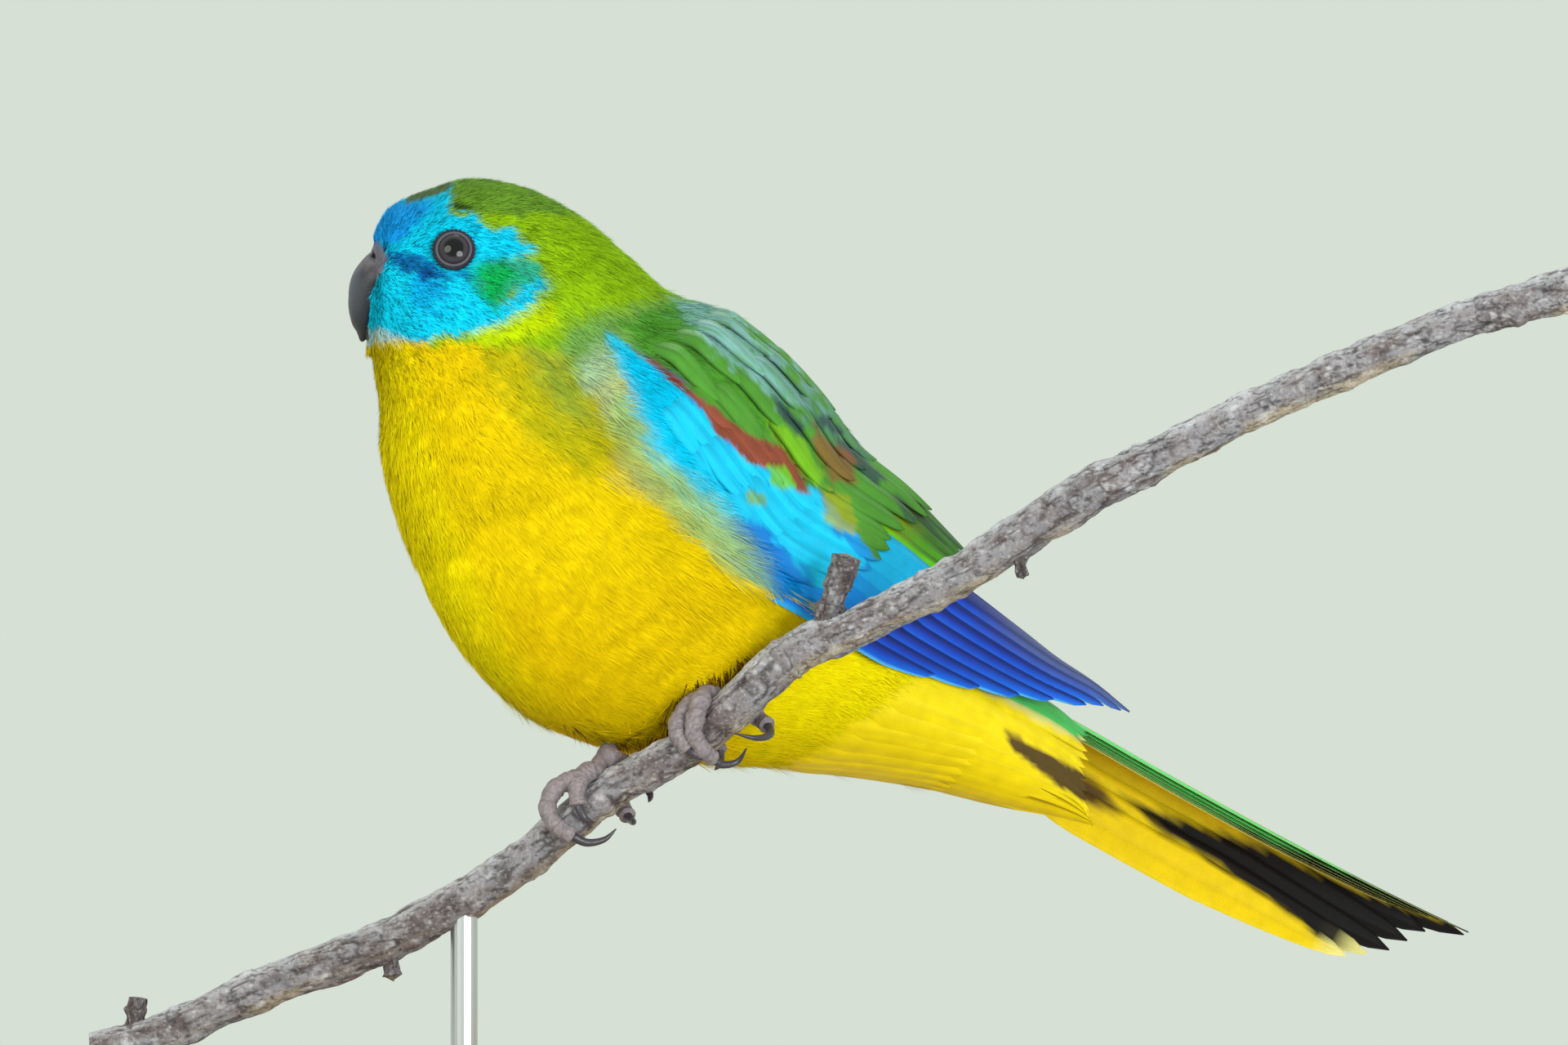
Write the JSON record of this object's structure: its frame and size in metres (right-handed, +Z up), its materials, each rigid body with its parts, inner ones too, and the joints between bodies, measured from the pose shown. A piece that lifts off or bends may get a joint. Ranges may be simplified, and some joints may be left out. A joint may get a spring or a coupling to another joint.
{
  "type": "turquoise parrot on a perch",
  "caption": "Life-size turquoise parrot with blue face, yellow breast and long tail, gripping a cut branch held by a rod on a flat wooden base.",
  "frame": {"origin": "middle of the underside of the stand base, at the middle of the object's footprint", "axes": "+X runs along the perch from its low end to its high end, with the bird facing -X; +Y points away from the side of the bird that shows in the picture; +Z is up"},
  "size_m": [0.2194, 0.1048, 0.1442],
  "materials": {
    "plumage_blue": "soft matte plumage",
    "plumage_green": "soft matte plumage",
    "plumage_yellow": "soft matte plumage",
    "horn": "dull horn",
    "eye": "wet gloss",
    "skin": "dry scaly skin",
    "bark": "rough weathered bark",
    "steel": "brushed",
    "base_wood": "satin oiled wood"
  },
  "bodies": {
    "root": {"head": "plumage_blue", "neck": "plumage_green", "torso": "plumage_yellow", "rump": "plumage_yellow", "tail_feathers": "plumage_yellow", "wing_left_coverts": "plumage_blue", "wing_left_secondaries": "plumage_blue", "wing_left_primaries": "plumage_blue", "wing_right_coverts": "plumage_blue", "wing_right_secondaries": "plumage_blue", "wing_right_primaries": "plumage_blue", "bill_upper": "horn", "bill_lower": "horn", "eye_left": "eye", "eye_right": "eye", "leg_left": "skin", "leg_right": "skin", "foot_left": "skin", "foot_right": "skin", "perch_branch": "bark", "stand_rod": "steel", "stand_base": "base_wood"}
  },
  "joints": []
}
